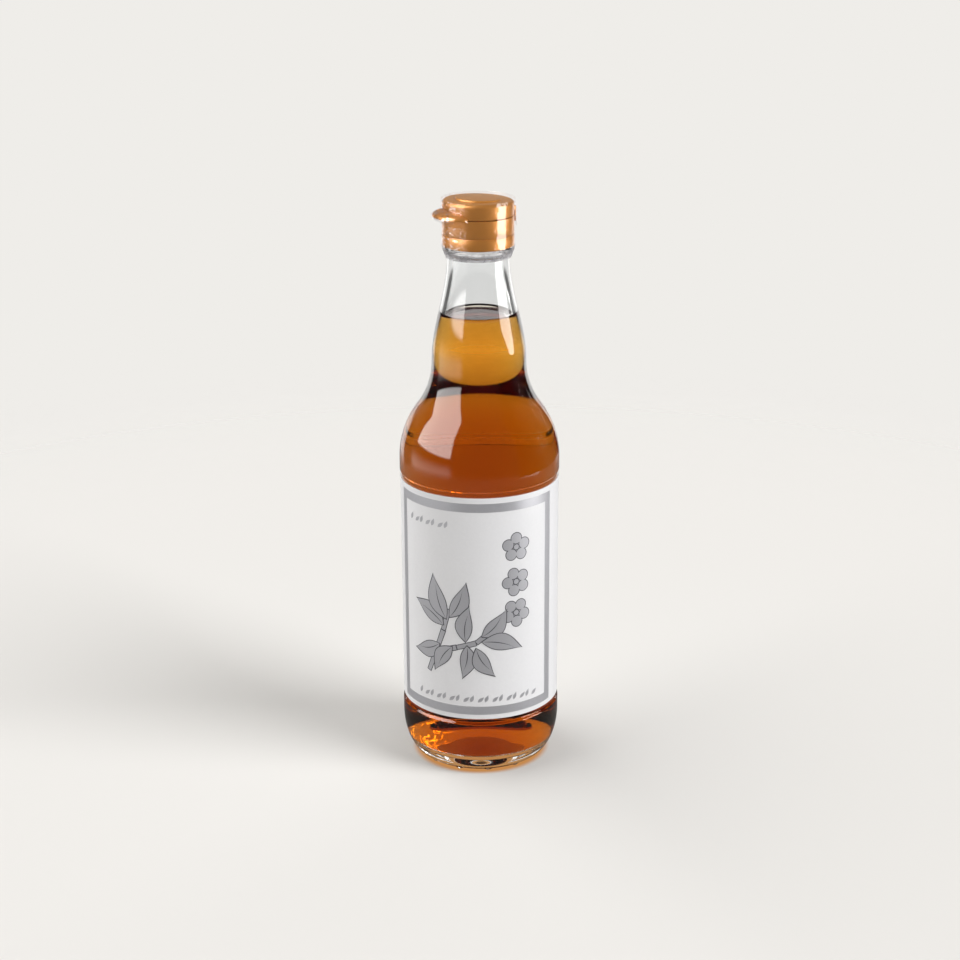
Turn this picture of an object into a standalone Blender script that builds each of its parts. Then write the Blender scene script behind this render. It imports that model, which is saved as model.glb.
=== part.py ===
"""A 500 ml soy sauce bottle: clear glass, amber sauce, paper label, gold flip-top cap, clear shrink film.

Units are metres and +Z is up. The origin is on the bottle's axis, at the surface that it stands on.
The front of the bottle faces -Y. Driving dimensions are in millimetres and are turned to metres by MM.
"""

from math import atan2, cos, hypot, pi, radians, sin, sqrt

import bmesh
import bpy
from mathutils import Matrix, Vector

MM = 0.001
GAP = 0.3
STEPS = 48

# Glass bottle, outside
BODY_R = 34.0
PANEL_R = 33.3
FOOT_R = 24.2
FOOT_WIDTH = 3.0
PUSH_UP = 4.0
HEEL_HEIGHT = 18.9
PANEL_BOTTOM = 26.2
PANEL_TOP = 129.1
PANEL_EASE = 1.5
SHOULDER_START = 135.5
SHOULDER_RADIUS = 37.5
SHOULDER_TURN = radians(37.25)
NECK_ROOT_RADIUS = 31.9
NECK_TOP_R = 12.93
NECK_TOP = 222.0
COLLAR_R = 13.7
COLLAR_SWELL = 0.2
COLLAR_EASE = 1.2
COLLAR_TOP = 226.0
FINISH_R = 12.4
MOUTH = 235.8

# Glass bottle, inside
WALL = 2.6
BASE_EDGE = 6.0
BASE_CENTRE = 9.0
INNER_HEEL = 9.0

# Sauce
FILL_LEVEL = 197.0

# Label
LABEL_BOTTOM = 27.7
LABEL_TOP = 127.6
LABEL_THICK = 0.2

# Cap
CAP_R = 14.8
SKIRT_BOTTOM = 226.5
GROOVE_Z = 231.5
GROOVE_DEPTH = 0.35
CAP_BORE_R = 13.1
DECK_UNDERSIDE = 236.3
PARTING = 239.1
LID_TOP = 246.0
LID_EDGE = 2.8
DISC_R = 9.5
DISC_RISE = 0.9
LIP_DIRECTION = radians(-90 - 62)
LIP_CENTRE = 12.0
LIP_REACH = 7.3
LIP_HALF_WIDTH = 11.0
LIP_HEIGHT = 3.4
TOP_FALL = 0.9
HINGE_OUT = 16.2
HINGE_WIDTH = 8.0
HINGE_BOTTOM = 235.6
HINGE_TOP = 242.0
HINGE_ROOT_DEPTH = 3.0
HINGE_ROOT_ABOVE = 1.0
HINGE_ROOT_INSET = 0.2
CAP_CHAMFER = 0.4

# Shrink film
FILM_THICK = 0.25
FILM_STEPS = 72
FILM_BOTTOM = 221.9
FILM_CLEAR = 0.6
FILM_TENT = 3.0


def clear_scene():
    for thing in list(bpy.data.objects):
        bpy.data.objects.remove(thing, do_unlink=True)


def collection(name):
    made = bpy.data.collections.new(name)
    bpy.context.scene.collection.children.link(made)
    return made


def material(name, colour, roughness, metallic=0.0, transmission=0.0, alpha=1.0):
    """A Principled material, its colour given as linear red, green and blue."""
    made = bpy.data.materials.new(name)
    made.use_nodes = True
    shader = made.node_tree.nodes["Principled BSDF"]
    shader.inputs["Base Color"].default_value = (*colour, 1.0)
    shader.inputs["Roughness"].default_value = roughness
    shader.inputs["Metallic"].default_value = metallic
    shader.inputs["Transmission Weight"].default_value = transmission
    shader.inputs["Alpha"].default_value = alpha
    made.diffuse_color = (*colour, alpha)
    return made


def arc(centre_r, centre_z, radius_r, radius_z, start, end, count):
    """Points of an elliptical arc in the profile plane, from one angle to another."""
    turns = [start + (end - start) * i / (count - 1) for i in range(count)]
    return [(centre_r + radius_r * cos(t), centre_z + radius_z * sin(t)) for t in turns]


def neck_line(root_r, root_z, count):
    """The neck's gentle S from its root up to the collar, upright at both ends."""
    points = []
    for i in range(count):
        s = i / (count - 1)
        ease = s * s * (3 - 2 * s)
        points.append((root_r + (NECK_TOP_R - root_r) * ease, root_z + (NECK_TOP - root_z) * s))
    return points


def shoulder_and_neck(inset=0.0, neck_points=9):
    """The shoulder and neck as (radius, height), from the body's top to the collar, moved in by inset."""
    turn = SHOULDER_TURN
    swell = SHOULDER_RADIUS - inset
    hollow = NECK_ROOT_RADIUS + inset
    centre_r = BODY_R - SHOULDER_RADIUS
    shoulder = arc(centre_r, SHOULDER_START, swell, swell, 0, turn, 6)
    bend_r = centre_r + (SHOULDER_RADIUS + NECK_ROOT_RADIUS) * cos(turn)
    bend_z = SHOULDER_START + (SHOULDER_RADIUS + NECK_ROOT_RADIUS) * sin(turn)
    root = arc(bend_r, bend_z, hollow, hollow, pi + turn, pi, 6)
    neck = neck_line(bend_r - NECK_ROOT_RADIUS, bend_z, neck_points)
    moved = []
    for i, (r, z) in enumerate(neck[1:], start=1):
        before, after = neck[i - 1], neck[min(i + 1, len(neck) - 1)]
        run, rise = after[0] - before[0], after[1] - before[1]
        length = hypot(run, rise)
        moved.append((r - inset * rise / length, z + inset * run / length))
    return shoulder + root[1:] + moved


def bottle_outside():
    """The outside from the mouth down to the middle of the push-up under the base."""
    upper = shoulder_and_neck()
    finish = [(FINISH_R, MOUTH), (FINISH_R, COLLAR_TOP + COLLAR_EASE / 2), (COLLAR_R, COLLAR_TOP)]
    collar_middle = (COLLAR_TOP + NECK_TOP + COLLAR_EASE) / 2
    collar = [(COLLAR_R + COLLAR_SWELL, collar_middle), (COLLAR_R, NECK_TOP + COLLAR_EASE)]
    panel = [
        (PANEL_R, PANEL_TOP),
        (PANEL_R, PANEL_BOTTOM),
        (BODY_R, PANEL_BOTTOM - PANEL_EASE),
    ]
    above_panel = [(BODY_R, PANEL_TOP + PANEL_EASE)]
    heel = arc(FOOT_R, HEEL_HEIGHT, BODY_R - FOOT_R, HEEL_HEIGHT, 0, -pi / 2, 9)
    inner_foot = FOOT_R - FOOT_WIDTH
    push_up = [
        (inner_foot * share, PUSH_UP * (1 - share * share))
        for share in (1.0, 0.93, 0.75, 0.4, 0.0)
    ]
    return finish + collar + upper[::-1] + above_panel + panel + heel + push_up


def bottle_inside(clearance=0.0, level=None):
    """The inside from the middle of the base up to the mouth, or up to a level, kept clear of the glass."""
    inset = WALL + clearance
    body_r = BODY_R - inset
    upper = shoulder_and_neck(inset)
    floor_edge = body_r - INNER_HEEL
    floor = [
        (floor_edge * share, BASE_EDGE + clearance + (BASE_CENTRE - BASE_EDGE) * (1 - share * share))
        for share in (0.0, 0.5, 1.0)
    ]
    radius = INNER_HEEL
    heel = arc(floor_edge, BASE_EDGE + clearance + radius, radius, radius, -pi / 2, 0, 6)[1:]
    bore = [(NECK_TOP_R - inset, NECK_TOP), (NECK_TOP_R - inset, MOUTH)]
    points = floor + heel + upper[:-1] + bore
    if level is None:
        return points
    below = [p for p in points if p[1] < level]
    low, high = below[-1], points[len(below)]
    share = (level - low[1]) / (high[1] - low[1])
    return below + [(low[0] + share * (high[0] - low[0]), level), (0.0, level)]


def turned(name, profile, group, finish, steps=STEPS):
    """A profile in millimetres, spun about Z. It runs down the outer side."""
    mesh = bpy.data.meshes.new(name)
    points = [(r * MM, 0.0, z * MM) for r, z in profile]
    edges = [(i, i + 1) for i in range(len(points) - 1)]
    mesh.from_pydata(points, edges, [])
    made = bpy.data.objects.new(name, mesh)
    group.objects.link(made)
    mesh.materials.append(finish)
    spin = made.modifiers.new("Spin", "SCREW")
    spin.axis = "Z"
    spin.steps = spin.render_steps = steps
    spin.use_merge_vertices = True
    spin.merge_threshold = 0.00001
    spin.use_smooth_shade = True
    return made


def fixed_mesh(thing):
    """Turns an object with live modifiers into plain mesh, so that its points can be moved or joined."""
    bpy.context.view_layer.update()
    seen = thing.evaluated_get(bpy.context.evaluated_depsgraph_get())
    mesh = bpy.data.meshes.new_from_object(seen)
    thing.modifiers.clear()
    thing.data = mesh
    return thing


def union(thing, other):
    """Joins another closed mesh into this one and removes it."""
    join = thing.modifiers.new("Join", "BOOLEAN")
    join.operation = "UNION"
    join.solver = "EXACT"
    join.object = other
    fixed_mesh(thing)
    bpy.data.objects.remove(other, do_unlink=True)


def box(name, low, high, direction, group):
    """A box, its corners given as (outwards, across, up) in millimetres, turned to face a direction."""
    size = [h - l for l, h in zip(low, high)]
    middle = [(h + l) / 2 for l, h in zip(low, high)]
    bm = bmesh.new()
    bmesh.ops.create_cube(bm, size=1.0)
    place = (
        Matrix.Rotation(direction, 4, "Z")
        @ Matrix.Translation(Vector(middle) * MM)
        @ Matrix.Diagonal((*[s * MM for s in size], 1.0))
    )
    bm.transform(place)
    mesh = bpy.data.meshes.new(name)
    bm.to_mesh(mesh)
    bm.free()
    made = bpy.data.objects.new(name, mesh)
    group.objects.link(made)
    return made


def thumb_lip(group):
    """The crescent lip that a thumb lifts: the upper half of a squashed ball, flat underneath."""
    bm = bmesh.new()
    bmesh.ops.create_uvsphere(bm, u_segments=28, v_segments=14, radius=1.0)
    flat = bmesh.ops.bisect_plane(
        bm,
        geom=bm.verts[:] + bm.edges[:] + bm.faces[:],
        plane_co=(0, 0, 0),
        plane_no=(0, 0, -1),
        clear_outer=True,
        dist=0.0001,
    )
    rim = [e for e in flat["geom_cut"] if isinstance(e, bmesh.types.BMEdge)]
    bmesh.ops.holes_fill(bm, edges=rim)
    base = PARTING + GAP / 2
    place = (
        Matrix.Rotation(LIP_DIRECTION, 4, "Z")
        @ Matrix.Translation(Vector((LIP_CENTRE, 0, base)) * MM)
        @ Matrix.Diagonal((LIP_REACH * MM, LIP_HALF_WIDTH * MM, LIP_HEIGHT * MM, 1.0))
    )
    bm.transform(place)
    mesh = bpy.data.meshes.new("lip")
    bm.to_mesh(mesh)
    bm.free()
    made = bpy.data.objects.new("lip", mesh)
    group.objects.link(made)
    return made


def lip_edge(off_axis, above):
    """How far out the lip reaches at an angle from its middle and a height above its underside."""
    if above >= LIP_HEIGHT or cos(off_axis) < 0:
        return 0.0
    left = 1 - (max(above, 0.0) / LIP_HEIGHT) ** 2
    a = (cos(off_axis) / LIP_REACH) ** 2 + (sin(off_axis) / LIP_HALF_WIDTH) ** 2
    b = -2 * LIP_CENTRE * cos(off_axis) / LIP_REACH**2
    c = (LIP_CENTRE / LIP_REACH) ** 2 - left
    inside = b * b - 4 * a * c
    return (-b + sqrt(inside)) / (2 * a) if inside > 0 else 0.0


def make_bottle(group, finish):
    profile = bottle_inside() + bottle_outside()
    return turned("bottle", profile, group, finish)


def make_sauce(group, finish):
    profile = bottle_inside(GAP, FILL_LEVEL)
    return turned("soy_sauce", profile[::-1], group, finish)


def make_label(group, finish):
    """The paper wrapped all the way round the recessed panel."""
    inner = PANEL_R + GAP
    sheet = turned("label", [(inner, LABEL_TOP), (inner, LABEL_BOTTOM)], group, finish)
    thick = sheet.modifiers.new("Paper", "SOLIDIFY")
    thick.thickness = LABEL_THICK * MM
    thick.offset = 1.0
    return sheet


def make_cap_base(group, finish):
    """The collar that grips the mouth: a skirt with one groove round it, closed by a deck."""
    top = PARTING - GAP / 2
    profile = [
        (0.0, top),
        (CAP_R - CAP_CHAMFER, top),
        (CAP_R, top - CAP_CHAMFER),
        (CAP_R, GROOVE_Z + GROOVE_DEPTH),
        (CAP_R - GROOVE_DEPTH, GROOVE_Z),
        (CAP_R, GROOVE_Z - GROOVE_DEPTH),
        (CAP_R, SKIRT_BOTTOM + CAP_CHAMFER),
        (CAP_R - CAP_CHAMFER, SKIRT_BOTTOM),
        (CAP_BORE_R, SKIRT_BOTTOM),
        (CAP_BORE_R, DECK_UNDERSIDE),
        (0.0, DECK_UNDERSIDE),
    ]
    return turned("cap_base", profile, group, finish)


def lower_top(lid):
    """The lid's top falls slightly from the lip's side to the hinge's side."""
    shoulder = LID_TOP - LID_EDGE
    for vertex in lid.data.vertices:
        z = vertex.co.z / MM
        if z > shoulder:
            towards_hinge = -(vertex.co.x * cos(LIP_DIRECTION) + vertex.co.y * sin(LIP_DIRECTION)) / MM
            share = (z - shoulder) / (LID_TOP - shoulder)
            vertex.co.z -= TOP_FALL * MM * share * (towards_hinge / CAP_R + 1) / 2


def make_cap_lid(group, finish):
    """The shut flip lid: a rounded puck with a raised disc, a thumb lip and a hinge strap opposite it."""
    bottom = PARTING + GAP / 2
    edge = arc(CAP_R - LID_EDGE, LID_TOP - LID_EDGE, LID_EDGE, LID_EDGE, pi / 2, 0, 5)
    profile = [
        (0.0, LID_TOP + DISC_RISE),
        (DISC_R - DISC_RISE, LID_TOP + DISC_RISE),
        (DISC_R, LID_TOP),
        *edge,
        (CAP_R, bottom),
        (0.0, bottom),
    ]
    lid = fixed_mesh(turned("cap_lid", profile, group, finish))
    union(lid, thumb_lip(group))
    half = HINGE_WIDTH / 2
    back = LIP_DIRECTION + pi
    strap = box("strap", (CAP_R + GAP, -half, HINGE_BOTTOM), (HINGE_OUT, half, HINGE_TOP), back, group)
    root_low = (CAP_R - HINGE_ROOT_DEPTH, -half, PARTING + HINGE_ROOT_ABOVE)
    root_high = (HINGE_OUT - HINGE_ROOT_INSET, half, HINGE_TOP - HINGE_ROOT_INSET)
    root = box("strap_root", root_low, root_high, back, group)
    union(strap, root)
    union(lid, strap)
    lower_top(lid)
    return lid


def film_profile():
    """The film's inner face, from the lid's rounded edge down over the skirt to the neck."""
    sleeve_r = CAP_R + GAP
    corner = arc(
        CAP_R - LID_EDGE,
        LID_TOP - LID_EDGE,
        LID_EDGE + GAP,
        LID_EDGE + GAP,
        radians(62),
        0,
        3,
    )
    lip_rows = [PARTING + above for above in (2.9, 1.7, 0.1, -1.0, -FILM_TENT)]
    sleeve = [(sleeve_r, z) for z in (*lip_rows, HINGE_BOTTOM - FILM_TENT)]
    tuck = [
        (sleeve_r, SKIRT_BOTTOM - 0.4),
        (COLLAR_R + COLLAR_SWELL + GAP, (COLLAR_TOP + NECK_TOP + COLLAR_EASE) / 2),
        (COLLAR_R + GAP, NECK_TOP + COLLAR_EASE),
        (NECK_TOP_R + 2 * GAP, FILM_BOTTOM),
    ]
    return corner + sleeve + tuck


def film_bulge(around, height):
    """How far out the film stands where it is tented over the thumb lip or the hinge strap."""
    from_lip = (around - LIP_DIRECTION + pi) % (2 * pi) - pi
    lip = lip_edge(from_lip, height - PARTING - GAP / 2)
    below_lip = max(0.0, PARTING - height - GAP) / FILM_TENT
    over_lip = (lip + FILM_CLEAR - CAP_R) * max(0.0, 1 - below_lip)
    from_hinge = abs((around - LIP_DIRECTION) % (2 * pi) - pi)
    beside = min(1.0, max(0.0, 2 - from_hinge / radians(17)))
    off_hinge = max(HINGE_BOTTOM - 0.4 - height, height - HINGE_TOP - 0.4, 0.0)
    hinge = hypot(HINGE_OUT, HINGE_WIDTH / 2) + FILM_CLEAR - CAP_R
    over_hinge = hinge * beside * max(0.0, 1 - off_hinge / FILM_TENT)
    return CAP_R + max(over_lip, over_hinge)


def make_film(group, finish):
    """Thin clear film shrunk over the cap and the neck's collar, tented over the lip and the hinge."""
    film = fixed_mesh(turned("shrink_film", film_profile(), group, finish, FILM_STEPS))
    for vertex in film.data.vertices:
        r, z = hypot(vertex.co.x, vertex.co.y) / MM, vertex.co.z / MM
        if z > SKIRT_BOTTOM:
            push = max(1.0, film_bulge(atan2(vertex.co.y, vertex.co.x), z) / r)
            vertex.co.x *= push
            vertex.co.y *= push
    thick = film.modifiers.new("Film", "SOLIDIFY")
    thick.thickness = FILM_THICK * MM
    thick.offset = 1.0
    return film


def main():
    clear_scene()
    group = collection("soy_sauce_bottle")
    glass = material("clear_glass", (0.93, 0.95, 0.95), 0.02, transmission=1.0, alpha=0.35)
    sauce = material("amber_sauce", (0.42, 0.11, 0.012), 0.05, transmission=0.6)
    paper = material("label_paper", (0.80, 0.80, 0.81), 0.55)
    gold = material("gold_plastic", (0.62, 0.30, 0.10), 0.28, metallic=0.75)
    film = material("clear_film", (0.95, 0.95, 0.95), 0.05, transmission=1.0, alpha=0.25)
    make_bottle(group, glass)
    make_sauce(group, sauce)
    make_label(group, paper)
    make_cap_base(group, gold)
    make_cap_lid(group, gold)
    make_film(group, film)


main()
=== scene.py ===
"""A glass bottle of amber soy sauce with a paper label and a gold flip-top cap, in a pale studio."""

import math

import bpy
from mathutils import Matrix, Vector, noise


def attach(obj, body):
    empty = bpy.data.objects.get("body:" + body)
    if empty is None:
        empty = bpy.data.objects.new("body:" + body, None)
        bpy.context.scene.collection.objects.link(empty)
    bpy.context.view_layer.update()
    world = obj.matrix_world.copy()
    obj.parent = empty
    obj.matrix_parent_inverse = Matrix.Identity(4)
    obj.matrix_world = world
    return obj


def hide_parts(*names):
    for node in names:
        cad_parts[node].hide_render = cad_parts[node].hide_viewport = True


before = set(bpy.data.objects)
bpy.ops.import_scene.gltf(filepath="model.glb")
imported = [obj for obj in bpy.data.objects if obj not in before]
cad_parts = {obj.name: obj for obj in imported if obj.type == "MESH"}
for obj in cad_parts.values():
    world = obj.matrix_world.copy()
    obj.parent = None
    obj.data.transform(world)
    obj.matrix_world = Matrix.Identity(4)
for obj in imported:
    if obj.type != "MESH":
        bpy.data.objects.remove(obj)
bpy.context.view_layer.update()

MM = 0.001
TURN = 2 * math.pi

# Sizes of the bottle in millimetres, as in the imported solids
BODY_R = 34.0
PANEL_R = 33.3
FOOT_R = 24.2
FOOT_WIDTH = 3.0
PUSH_UP = 4.0
HEEL_HEIGHT = 18.9
PANEL_BOTTOM = 26.2
PANEL_TOP = 129.1
PANEL_EASE = 1.5
SHOULDER_START = 135.5
SHOULDER_RADIUS = 37.5
SHOULDER_TURN = math.radians(37.25)
NECK_ROOT_RADIUS = 31.9
NECK_TOP_R = 12.93
NECK_TOP = 222.0
COLLAR_R = 13.7
COLLAR_TOP = 226.0
FINISH_R = 12.4
MOUTH = 235.8
WALL = 2.6
BASE_EDGE = 6.0
BASE_CENTRE = 9.0
INNER_HEEL = 9.0
FILL_LEVEL = 197.0
INTO_WALL = 0.12

# Label and its print
LABEL_R = PANEL_R + 0.25
LABEL_THICK = 0.22
LABEL_BOTTOM = 27.7
LABEL_TOP = 127.6
OVERLAP_SPAN = 14.0
PRINT_TURN = -5.5
PRINT_R = LABEL_R + LABEL_THICK
PRINT_HALF = 39.0
BAND_WIDTH = 3.8
BAND_TOP = 125.2
BAND_BOTTOM = 29.8
# Painted glow of the label's inner face, standing in for light let through the paper
GLUED_PAINTED_GLOW = 0.66
INK_THICK = 0.035
OUTLINE = 0.34

# Cap
CAP_R = 14.8
SKIRT_BOTTOM = 226.5
GROOVE_Z = 231.5
GROOVE_DEPTH = 0.22
CAP_BORE_R = 13.1
DECK_UNDERSIDE = 236.3
PARTING = 239.1
PARTING_GAP = 0.26
LID_TOP = 246.0
LID_EDGE = 2.0
DISC_R = 9.5
DISC_RISE = 0.9
LIP_DIRECTION = math.radians(-90 - 62)
LIP_CENTRE = 12.0
LIP_REACH = 7.3
LIP_HALF_WIDTH = 11.0
LIP_HEIGHT = 3.4
TOP_FALL = 0.9
HINGE_OUT = 15.6
HINGE_WIDTH = 8.0
HINGE_BOTTOM = 235.6
HINGE_TOP = 242.0

# Shrink film
FILM_GAP = 0.3
FILM_THICK = 0.12
FILM_CLEAR = 0.55
FILM_TENT = 3.0
FILM_TOP_TURN = math.radians(62)
FILM_BOTTOM = 221.9
FILM_SHINE = 0.03
FILM_EDGE_SHINE = 0.12
FILM_EDGE_POWER = 5.0
FILM_FOLD_SHINE = 0.4
CRUMPLED_FROM = -4.0
CRUMPLED_TO = -13.0
HEM_FROM = SKIRT_BOTTOM + 0.4
HEM_TO = SKIRT_BOTTOM - 2.6
HEM_HAZE = 0.9

# Light bending and the sauce's colour over depth
GLASS_IOR = 1.52
SAUCE_IOR = 1.37
SAUCE_SHINE = (0.1, 0.1, 0.1, 1.0)
SAUCE_TINT = (0.888, 0.66, 0.04, 1.0)
SAUCE_DENSITY = 125.0

LATHE_STEPS = 160
GLASS_STEPS = 240
PAPER_EDGE = math.radians(30)

# Bumps moulded round the underside of the heel, which keep the bottle from sticking on wet glass or steel
HEEL_BUMPS = 13
BUMP_R = 26.3
BUMP_ALONG = 1.1
BUMP_ACROSS = 0.5
BUMP_HEIGHT = 0.7

# Floor, in millimetres from the bottle's axis: where it fades out, and where it carries painted tan light
FLOOR_R = 650.0
FADE_FROM = 360.0
FADE_TO = 630.0
POOL_TO = 27.0
POOL_END = 31.0
SEEN_PAINTED_POOL_TO = 45.0
SEEN_PAINTED_POOL_END = 75.0
# Painted tan light under the foot and round it, for the light that the sauce tints
PAINTED_POOL_GLOW = (0.55, 0.25, 0.08, 1.0)
FLOOR_COLOUR = "#D0CECB"
FLOOR_FILL = 0.15
# Painted shade: how far the floor is mixed towards black where the bottle mirrors it
FLOOR_PAINTED_MIRROR_SHADE = 0.75
PALE = "#EFEDE9"

# Ring round the foot with a painted tan glow, and black card by the right shoulder with its ends in degrees
# from the front
RING_R = 50.0
RING_TOP = 16.0
RING_PAINTED_GLOW = (0.55, 0.28, 0.10, 1.0)
FLAG_R = 54.0
FLAG_TOP = 179.0
FLAG_BOTTOM = 128.0
FLAG_LEFT = 40.0
FLAG_RIGHT = 122.0
FLAG_LEAN_FROM = 68.0
FLAG_LEAN = 1.3

# Camera, from the photograph's perspective, in body radii
CAMERA_BACK = 24.0
CAMERA_UP = 11.858
CAMERA_SIDE = 0.0059
CAMERA_PITCH = 0.3294
CAMERA_ROLL = -0.0052
CAMERA_FOCAL = 2016.18
PHOTO_WIDTH = 960
SENSOR_MM = 36.0


def srgb(code):
    """Linear red, green and blue of an sRGB hex value."""
    parts = [int(code[i : i + 2], 16) / 255 for i in (1, 3, 5)]
    return tuple(p / 12.92 if p <= 0.04045 else ((p + 0.055) / 1.055) ** 2.4 for p in parts)


def rgba(code):
    return (*srgb(code), 1.0)


def add_node(tree, kind, inputs=None, **settings):
    """Adds a node with its settings, and sets or links its inputs by name or number."""
    node = tree.nodes.new(kind)
    for name, value in settings.items():
        setattr(node, name, value)
    for name, value in (inputs or {}).items():
        if isinstance(value, bpy.types.NodeSocket):
            tree.links.new(value, node.inputs[name])
        else:
            node.inputs[name].default_value = value
    return node


def new_material(name):
    """An empty node material and its tree."""
    made = bpy.data.materials.new(name)
    made.use_nodes = True
    made.node_tree.nodes.clear()
    return made, made.node_tree


def flint_glass(name, shine):
    """Flint container glass, blown in a mould: clear and glossy, with slight waviness in its thick wall.

    Where sauce wets the glass the two hardly differ in density, so that face is given no shine of its own.
    """
    made, tree = new_material(name)
    place = add_node(tree, "ShaderNodeTexCoord").outputs["Object"]
    wave = add_node(tree, "ShaderNodeTexNoise", {"Vector": place, "Scale": 1 / (14 * MM), "Detail": 1.0})
    bump = add_node(
        tree,
        "ShaderNodeBump",
        {"Strength": 0.03, "Distance": 0.5 * MM, "Height": wave.outputs["Fac"]},
    )
    glass = add_node(
        tree,
        "ShaderNodeBsdfPrincipled",
        {
            "Base Color": rgba("#FBFCFC"),
            "Roughness": 0.0,
            "IOR": GLASS_IOR,
            "Specular Tint": (shine, shine, shine, 1.0),
            "Transmission Weight": 1.0,
            "Normal": bump.outputs["Normal"],
        },
    )
    add_node(tree, "ShaderNodeOutputMaterial", {"Surface": glass.outputs["BSDF"]})
    return made


def amber_sauce():
    """White soy sauce, brewed and filtered: clear amber that deepens with the depth of liquid."""
    made, tree = new_material("white_soy_sauce_filtered")
    sauce = add_node(
        tree,
        "ShaderNodeBsdfPrincipled",
        {
            "Base Color": (1.0, 1.0, 1.0, 1.0),
            "Roughness": 0.0,
            "IOR": SAUCE_IOR,
            "Specular Tint": SAUCE_SHINE,
            "Transmission Weight": 1.0,
        },
    )
    body = add_node(
        tree,
        "ShaderNodeVolumeAbsorption",
        {"Color": SAUCE_TINT, "Density": SAUCE_DENSITY},
    )
    ends = {"Surface": sauce.outputs["BSDF"], "Volume": body.outputs["Volume"]}
    add_node(tree, "ShaderNodeOutputMaterial", ends)
    return made


def satin_paper():
    """Coated art paper, calendered: satin white and faintly cloudy."""
    made, tree = new_material("coated_paper_calendered")
    place = add_node(tree, "ShaderNodeTexCoord").outputs["Object"]
    fibre = add_node(tree, "ShaderNodeTexNoise", {"Vector": place, "Scale": 1 / (1.2 * MM), "Detail": 4.0})
    tones = {"Factor": fibre.outputs["Fac"], 6: rgba("#DADADC"), 7: rgba("#E0E0E2")}
    tone = add_node(tree, "ShaderNodeMix", tones, data_type="RGBA").outputs[2]
    bump = add_node(
        tree,
        "ShaderNodeBump",
        {"Strength": 0.12, "Distance": 0.02 * MM, "Height": fibre.outputs["Fac"]},
    )
    paper = add_node(
        tree,
        "ShaderNodeBsdfPrincipled",
        {
            "Base Color": tone,
            "Roughness": 0.45,
            "Specular IOR Level": 0.35,
            "Normal": bump.outputs["Normal"],
        },
    )
    add_node(tree, "ShaderNodeOutputMaterial", {"Surface": paper.outputs["BSDF"]})
    return made


def glued_paper_painted_glow():
    """The same paper's uncoated side, glued on: fibrous, with a painted glow for light the paper lets in.
    """
    made, tree = new_material("uncoated_paper_glued_side_painted_glow")
    place = add_node(tree, "ShaderNodeTexCoord").outputs["Object"]
    fibre = add_node(tree, "ShaderNodeTexNoise", {"Vector": place, "Scale": 1 / (3 * MM), "Detail": 4.0})
    tones = {"Factor": fibre.outputs["Fac"], 6: rgba("#E4E1DA"), 7: rgba("#EDEAE4")}
    tone = add_node(tree, "ShaderNodeMix", tones, data_type="RGBA").outputs[2]
    paper = add_node(
        tree,
        "ShaderNodeBsdfPrincipled",
        {
            "Base Color": tone,
            "Roughness": 0.9,
            "Emission Color": rgba("#FFFCF6"),
            "Emission Strength": GLUED_PAINTED_GLOW,
        },
    )
    add_node(tree, "ShaderNodeOutputMaterial", {"Surface": paper.outputs["BSDF"]})
    return made


def silver_ink():
    """Silver-grey printing ink, screen printed: a satin metallic grey with fine grain."""
    made, tree = new_material("silver_ink_screen_printed")
    place = add_node(tree, "ShaderNodeTexCoord").outputs["Object"]
    grain = add_node(tree, "ShaderNodeTexNoise", {"Vector": place, "Scale": 1 / (0.5 * MM), "Detail": 3.0})
    tones = {"Factor": grain.outputs["Fac"], 6: rgba("#AFAFB4"), 7: rgba("#BBBBC0")}
    tone = add_node(tree, "ShaderNodeMix", tones, data_type="RGBA").outputs[2]
    ink = add_node(
        tree,
        "ShaderNodeBsdfPrincipled",
        {"Base Color": tone, "Metallic": 0.45, "Roughness": 0.42},
    )
    add_node(tree, "ShaderNodeOutputMaterial", {"Surface": ink.outputs["BSDF"]})
    return made


def dark_ink():
    """Charcoal printing ink, screen printed: the fine outline round each silver shape."""
    made, tree = new_material("charcoal_ink_screen_printed")
    place = add_node(tree, "ShaderNodeTexCoord").outputs["Object"]
    grain = add_node(tree, "ShaderNodeTexNoise", {"Vector": place, "Scale": 1 / (0.5 * MM), "Detail": 2.0})
    tones = {"Factor": grain.outputs["Fac"], 6: rgba("#4A4A50"), 7: rgba("#56565C")}
    tone = add_node(tree, "ShaderNodeMix", tones, data_type="RGBA").outputs[2]
    ink = add_node(tree, "ShaderNodeBsdfPrincipled", {"Base Color": tone, "Roughness": 0.5})
    add_node(tree, "ShaderNodeOutputMaterial", {"Surface": ink.outputs["BSDF"]})
    return made


def gold_plastic():
    """Polypropylene with pearl gold pigment, injection moulded: a warm, half metallic satin."""
    made, tree = new_material("pearl_gold_polypropylene_moulded")
    place = add_node(tree, "ShaderNodeTexCoord").outputs["Object"]
    fleck = add_node(tree, "ShaderNodeTexVoronoi", {"Vector": place, "Scale": 1 / (0.3 * MM)})
    flow = add_node(tree, "ShaderNodeTexNoise", {"Vector": place, "Scale": 1 / (6 * MM), "Detail": 2.0})
    tones = {"Factor": flow.outputs["Fac"], 6: rgba("#C5833A"), 7: rgba("#CD8D46")}
    tone = add_node(tree, "ShaderNodeMix", tones, data_type="RGBA").outputs[2]
    rough = add_node(
        tree,
        "ShaderNodeMapRange",
        {"Value": fleck.outputs["Distance"], "To Min": 0.36, "To Max": 0.44},
    ).outputs["Result"]
    bump = add_node(
        tree,
        "ShaderNodeBump",
        {"Strength": 0.05, "Distance": 0.02 * MM, "Height": fleck.outputs["Distance"]},
    )
    gold = add_node(
        tree,
        "ShaderNodeBsdfPrincipled",
        {
            "Base Color": tone,
            "Metallic": 0.45,
            "Roughness": rough,
            "Coat Weight": 0.3,
            "Coat Roughness": 0.1,
            "Normal": bump.outputs["Normal"],
        },
    )
    add_node(tree, "ShaderNodeOutputMaterial", {"Surface": gold.outputs["BSDF"]})
    return made


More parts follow.
